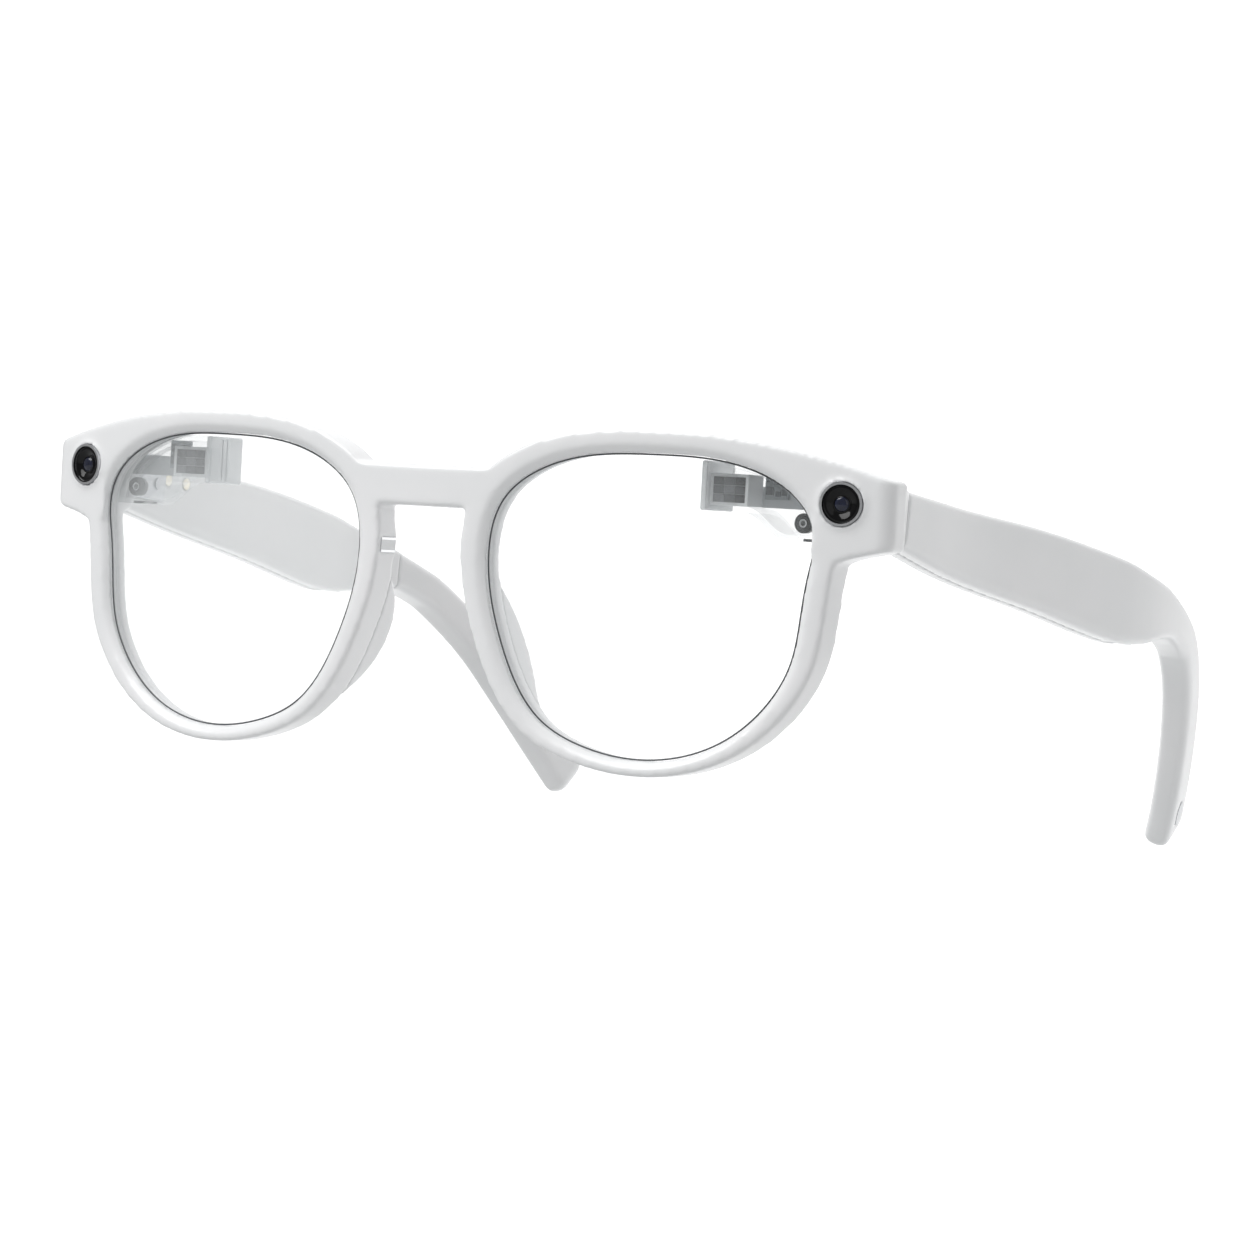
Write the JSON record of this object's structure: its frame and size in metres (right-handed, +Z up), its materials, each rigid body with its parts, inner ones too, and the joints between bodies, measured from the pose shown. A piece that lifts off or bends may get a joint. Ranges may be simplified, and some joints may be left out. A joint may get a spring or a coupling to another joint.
{
  "type": "smart glasses",
  "caption": "Folding smart glasses with clear lenses, outward cameras, clear display housings behind the lenses and electronics in the temples.",
  "frame": {"origin": "middle of the bridge's front face, at the height of the two camera centres", "axes": "+X towards the wearer's left, +Y back towards the ears, +Z up; the rim bottoms and the tips of the ear hooks lie on one level plane below the origin"},
  "size_m": [0.1538, 0.1516, 0.0505],
  "materials": {
    "white_shell": "high gloss, injection moulded and lacquered",
    "clear_lens": "polished, anti-reflection coated",
    "bright_trim": "polished",
    "black_window": "polished black window",
    "black_plastic": "fine satin",
    "coated_glass": "coated lens",
    "circuit_board": "solder mask",
    "clear_housing": "polished clear moulding",
    "frosted_cap": "translucent, fine ribs",
    "grey_tray": "satin",
    "steel": "satin",
    "grey_badge": "satin",
    "battery_foil": "foil pouch",
    "gold_contact": "gold plated",
    "white_button": "gloss"
  },
  "bodies": {
    "front": {"camera_barrel_left": "black_plastic", "camera_barrel_right": "black_plastic", "camera_board_left": "circuit_board", "camera_board_right": "circuit_board", "camera_lens_left": "coated_glass", "camera_lens_right": "coated_glass", "camera_ring_left": "bright_trim", "camera_ring_right": "bright_trim", "camera_window_left": "black_window", "camera_window_right": "black_window", "display_board_left": "circuit_board", "display_board_right": "circuit_board", "display_end_cap_left": "frosted_cap", "display_end_cap_right": "frosted_cap", "display_engine_left": "black_plastic", "display_engine_right": "black_plastic", "display_housing_left": "clear_housing", "display_housing_right": "clear_housing", "display_tray_left": "grey_tray", "display_tray_right": "grey_tray", "eye_sensor_left": "black_window", "eye_sensor_right": "black_window", "front_frame": "white_shell", "hinge_leaf_left": "steel", "hinge_leaf_right": "steel", "hinge_pin_left": "steel", "hinge_pin_right": "steel", "hinge_screws": "steel", "lens_left": "clear_lens", "lens_right": "clear_lens", "nose_pad_left": "white_shell", "nose_pad_right": "white_shell", "pad_clips": "bright_trim", "sensor_ports": "black_window"},
    "temple_left": {"temple_outer_shell_left": "white_shell", "temple_inner_shell_left": "white_shell", "temple_leaf_left": "steel", "temple_screws_left": "steel", "tip_badge_left": "grey_badge", "speaker_grille_left": "steel", "battery_left": "battery_foil", "speaker_left": "black_plastic", "main_board_left": "circuit_board", "tip_wire_left": "steel"},
    "temple_right": {"temple_outer_shell_right": "white_shell", "temple_inner_shell_right": "white_shell", "temple_leaf_right": "steel", "temple_screws_right": "steel", "tip_badge_right": "grey_badge", "speaker_grille_right": "steel", "battery_right": "battery_foil", "speaker_right": "black_plastic", "main_board_right": "circuit_board", "tip_wire_right": "steel", "charge_contacts": "gold_contact", "button_dome": "steel"},
    "capture_button": {"capture_button": "white_button"},
    "power_switch": {"power_switch": "white_button"}
  },
  "joints": [
    {"name": "temple_left_fold", "type": "hinge", "parent": "front", "child": "temple_left", "pos_m": [0.0656, 0.01697, 0], "axis": [0, 0, 1], "range_deg": [0, 86]},
    {"name": "temple_right_fold", "type": "hinge", "parent": "front", "child": "temple_right", "pos_m": [-0.0656, 0.01697, 0], "axis": [0, 0, -1], "range_deg": [0, 53]},
    {"name": "capture_button_press", "type": "slide", "parent": "temple_right", "child": "capture_button", "axis": [0, 0, -1], "range_m": [0, 0.0005], "stiffness_N_per_m": 400},
    {"name": "power_switch_slide", "type": "slide", "parent": "temple_left", "child": "power_switch", "axis": [0, 1, 0], "range_m": [0, 0.002]}
  ]
}
